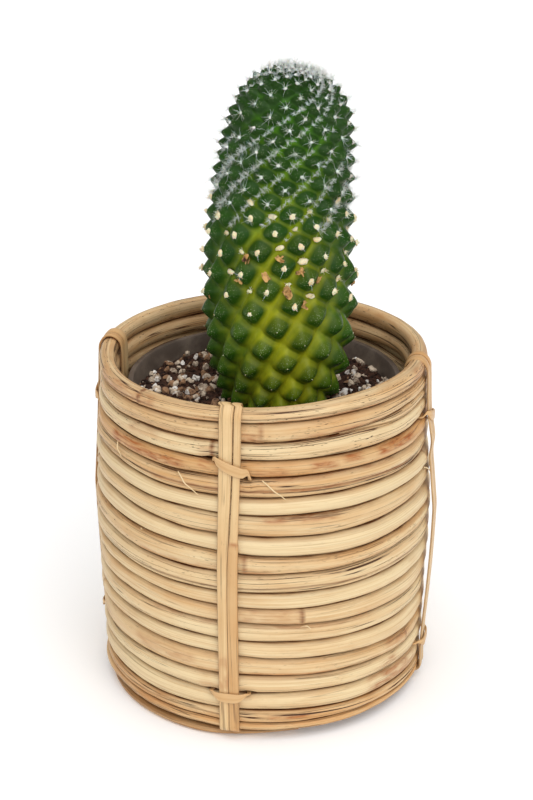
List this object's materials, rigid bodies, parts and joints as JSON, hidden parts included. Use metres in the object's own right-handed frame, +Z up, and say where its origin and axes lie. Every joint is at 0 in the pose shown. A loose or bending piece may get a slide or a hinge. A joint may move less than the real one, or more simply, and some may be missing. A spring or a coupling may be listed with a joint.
{
  "type": "potted mammillaria cactus",
  "caption": "Tall woolly mammillaria cactus in a plastic grow pot of gritty mix, standing in a round stacked-rattan basket held by flat peel straps.",
  "frame": {"origin": "centre of the bounding box's bottom, which is the centre of the basket's foot", "axes": "+Z up along the basket and the cactus; the front strap faces -Y, turned a little towards -X; +X to the right"},
  "size_m": [0.143, 0.142, 0.2617],
  "materials": {
    "rattan": "smooth split cane with a faint natural sheen, stained orange-brown in places",
    "peel": "flat rattan peel, satin on its outer side",
    "grow_pot": "matte grey-brown polypropylene",
    "potting_mix": "loose dark mix with pumice and perlite grains",
    "cactus": "waxy green skin under white wool and spines"
  },
  "bodies": {
    "root": {"cane_row_01": "rattan", "cane_row_02": "rattan", "cane_row_03": "rattan", "cane_row_04": "rattan", "cane_row_05": "rattan", "cane_row_06": "rattan", "cane_row_07": "rattan", "cane_row_08": "rattan", "cane_row_09": "rattan", "cane_row_10": "rattan", "cane_row_11": "rattan", "cane_row_12": "rattan", "cane_row_13": "rattan", "cane_row_14": "rattan", "cane_row_15": "rattan", "cane_row_16": "rattan", "cane_row_17": "rattan", "cane_row_18": "rattan", "cane_row_19": "rattan", "floor_coil": "rattan", "strap_1_strip_1": "peel", "strap_1_strip_2": "peel", "strap_2_strip_1": "peel", "strap_2_strip_2": "peel", "strap_3_strip_1": "peel", "strap_3_strip_2": "peel", "strap_4_strip_1": "peel", "strap_4_strip_2": "peel", "tie_1_upper": "peel", "tie_1_lower": "peel", "tie_2_upper": "peel", "tie_2_lower": "peel", "tie_3_upper": "peel", "tie_3_lower": "peel", "tie_4_upper": "peel", "tie_4_lower": "peel", "grow_pot": "grow_pot", "potting_mix": "potting_mix", "cactus": "cactus"}
  },
  "joints": []
}
